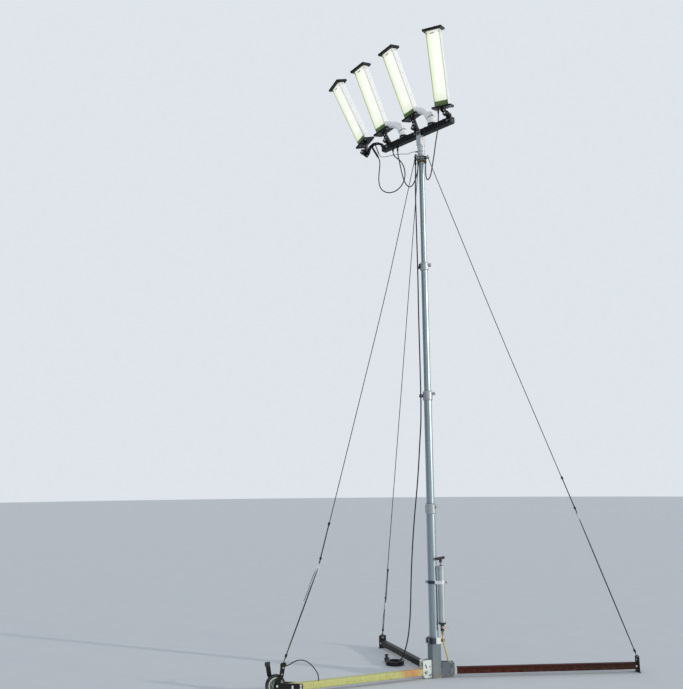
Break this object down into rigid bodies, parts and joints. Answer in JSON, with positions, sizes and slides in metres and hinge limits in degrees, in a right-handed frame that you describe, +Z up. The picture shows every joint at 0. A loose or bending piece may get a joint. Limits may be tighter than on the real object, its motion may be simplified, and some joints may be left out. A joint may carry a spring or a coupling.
{
  "type": "telescopic lamp mast",
  "caption": "Hand-pumped telescopic mast on box-section legs, with guys, lock collars and a crossbar of slim box lamps fed by hanging cables.",
  "frame": {"origin": "on the ground at the mast's axis", "axes": "+Z up the mast, +X towards the right leg's side, +Y towards the back leg's side"},
  "size_m": [3.0302, 1.7227, 5.5473],
  "materials": {
    "mast_tube": "drawn tube, anodised, lightly scratched",
    "collar_metal": "cast, tumbled",
    "post_paint": "semi-gloss dark paint, chipped at edges",
    "bracket_zinc": "pale grey-green coat, worn",
    "leg_paint": "orange-red paint, weathered",
    "black_paint": "satin black paint",
    "steel": "bright zinc",
    "pump_metal": "light grey, satin",
    "black_plastic": "moulded, matt",
    "clear_end": "moulded, weathered to a warm white",
    "white_pipe": "smooth moulded pipe",
    "cable_rubber": "matt black sheath",
    "hose_rubber": "yellow hose",
    "rope": "dark laid rope",
    "wheel_rubber": "solid rubber wheel, grey-green face",
    "lever_plastic": "pinkish white lever"
  },
  "bodies": {
    "base": {"base_post": "post_paint", "base_clamp": "black_paint", "base_clamp_knob": "black_plastic", "mast_section_1": "mast_tube", "lock_collar_1": "collar_metal", "left_leg": "leg_paint", "back_leg": "leg_paint", "right_leg": "leg_paint", "leg_brackets": "bracket_zinc", "leg_bolts": "steel", "leg_end_plates": "black_paint", "left_fork": "black_paint", "pump_barrel": "pump_metal", "pump_top_cap": "pump_metal", "pump_valve": "black_plastic", "pump_clamp": "black_paint", "left_guy": "rope", "back_guy": "rope", "right_guy": "rope", "guy_tensioners": "steel", "power_cable": "cable_rubber", "power_coil": "cable_rubber", "power_plug": "black_plastic", "pump_hose": "hose_rubber", "hose_boss": "black_plastic", "left_end_cable": "cable_rubber"},
    "section_2": {"mast_section_2": "mast_tube", "lock_collar_2": "collar_metal", "cable_clip": "black_plastic"},
    "section_3": {"mast_section_3": "mast_tube", "lock_collar_3": "collar_metal"},
    "head": {"mast_section_4": "mast_tube", "head_fitting": "collar_metal", "guy_ring": "steel", "crossbar": "black_paint", "lamp_housings": "clear_end", "lamp_flanges": "black_plastic", "lamp_necks": "black_paint", "lamp_knobs": "black_plastic", "lamp_forks": "black_paint", "lamp_1_arm": "collar_metal", "lamp_elbows": "white_pipe", "elbow_sockets": "black_plastic", "cable_glands": "black_plastic", "lamp_1_strain_reliefs": "black_plastic", "lamp_1_cable": "cable_rubber", "lamp_2_cable": "cable_rubber", "lamp_4_cable": "cable_rubber", "lamp_1_link": "cable_rubber"},
    "lamp_4": {"lamp_4_housing": "clear_end", "lamp_4_flanges": "black_plastic", "lamp_4_neck": "black_paint", "lamp_4_strain_relief": "black_plastic"},
    "pump_plunger_body": {"pump_plunger": "steel", "pump_handle": "black_plastic"},
    "lever": {"valve_lever": "lever_plastic"},
    "wheel": {"transport_wheel": "wheel_rubber"}
  },
  "joints": [
    {"name": "head_slide", "type": "slide", "parent": "section_3", "child": "head", "axis": [0, 0, 1], "range_m": [-0.915, 0], "deforming": ["left_guy", "back_guy", "right_guy", "guy_tensioners", "power_cable"]},
    {"name": "section_3_slide", "type": "slide", "parent": "section_2", "child": "section_3", "axis": [0, 0, 1], "range_m": [-1.062, 0]},
    {"name": "section_2_slide", "type": "slide", "parent": "base", "child": "section_2", "axis": [0, 0, 1], "range_m": [-0.862, 0]},
    {"name": "pump_slide", "type": "slide", "parent": "base", "child": "pump_plunger_body", "axis": [0, 0, 1], "range_m": [0, 0.29]},
    {"name": "lamp_4_tilt", "type": "hinge", "parent": "head", "child": "lamp_4", "pos_m": [0.22349, -0.24821, 4.742], "axis": [0.7431, 0.6691, 0], "range_deg": [-5, 20], "deforming": ["lamp_4_cable"]},
    {"name": "valve_turn", "type": "hinge", "parent": "base", "child": "lever", "pos_m": [0.068, -0.0373, 0.392], "axis": [0, 1, 0], "range_deg": [0, 90]},
    {"name": "wheel_spin", "type": "hinge", "parent": "base", "child": "wheel", "pos_m": [-1.25373, -0.52702, 0.076], "axis": [-0.3875, 0.9219, 0], "continuous": true}
  ],
  "couplings": [
    {"joint": "section_3_slide", "follows": "head_slide", "ratio": 1.1585},
    {"joint": "section_2_slide", "follows": "head_slide", "ratio": 0.9399}
  ]
}
